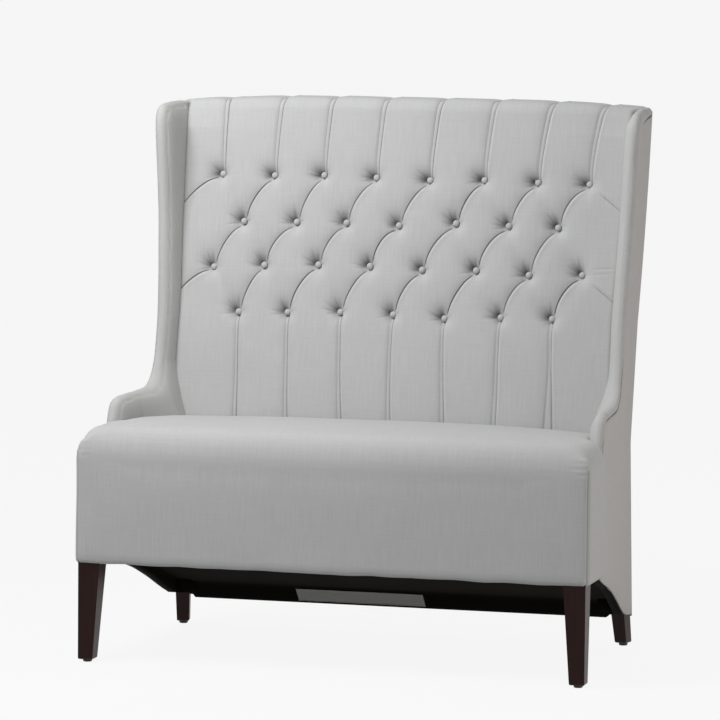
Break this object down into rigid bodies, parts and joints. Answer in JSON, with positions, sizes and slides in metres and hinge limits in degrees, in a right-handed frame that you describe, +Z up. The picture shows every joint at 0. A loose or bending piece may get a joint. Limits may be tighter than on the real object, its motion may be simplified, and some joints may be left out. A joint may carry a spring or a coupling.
{
  "type": "high back settee",
  "caption": "High back settee with tufted upholstered back, shallow wings on low arms, tight boxed seat and tapered dark wooden legs.",
  "frame": {"origin": "centre of the footprint box, on the floor", "axes": "+X across the settee, the front faces -Y, +Z up"},
  "size_m": [1.102, 0.73, 1.172],
  "materials": {
    "cover_cloth": "woven linen look, matt, light grey",
    "foam": "open cell upholstery foam",
    "frame_timber": "planed, unfinished",
    "board_timber": "plywood, unfinished",
    "leg_timber": "dark espresso stain, satin lacquer",
    "glide_plastic": "moulded",
    "spring_wire": "oiled spring wire",
    "plated_steel": "zinc plated",
    "webbing": "woven elastic webbing",
    "twine": "waxed twine",
    "plain_cloth": "non-woven lining",
    "dust_cloth": "black cambric",
    "tag_cloth": "plain woven label cloth, blank",
    "card": "grey board"
  },
  "bodies": {
    "root": {"front_leg_left": "leg_timber", "front_leg_right": "leg_timber", "rear_leg_left": "leg_timber", "rear_leg_right": "leg_timber", "leg_glides": "glide_plastic", "leg_bolts": "plated_steel", "leg_nuts": "plated_steel", "front_rail": "frame_timber", "front_corner_blocks": "frame_timber", "seat_ear_blocks": "frame_timber", "side_rail_left": "frame_timber", "side_rail_right": "frame_timber", "spring_rail": "frame_timber", "seat_stretcher": "frame_timber", "rear_corner_blocks": "frame_timber", "back_post_left": "frame_timber", "back_post_right": "frame_timber", "rear_rail": "frame_timber", "back_lower_rail": "frame_timber", "back_top_rail": "frame_timber", "back_centre_post": "frame_timber", "lower_centre_post": "frame_timber", "wing_board_left": "board_timber", "wing_board_right": "board_timber", "wing_screws": "plated_steel", "wing_spacers": "frame_timber", "wing_pad_left": "cover_cloth", "wing_pad_right": "cover_cloth", "side_card_left": "card", "side_card_right": "card", "outside_panel_left": "cover_cloth", "outside_panel_right": "cover_cloth", "back_card": "card", "back_outside_panel": "cover_cloth", "webbing_across": "webbing", "webbing_upright": "webbing", "back_support_cloth": "plain_cloth", "back_foam": "foam", "tufted_cover": "cover_cloth", "tufting_buttons": "cover_cloth", "button_twines": "twine", "twine_toggles": "glide_plastic", "seat_springs": "spring_wire", "spring_clips": "glide_plastic", "seat_deck": "plain_cloth", "seat_foam": "foam", "seat_cover": "cover_cloth", "dust_cover": "dust_cloth", "blank_tag": "tag_cloth"}
  },
  "joints": []
}
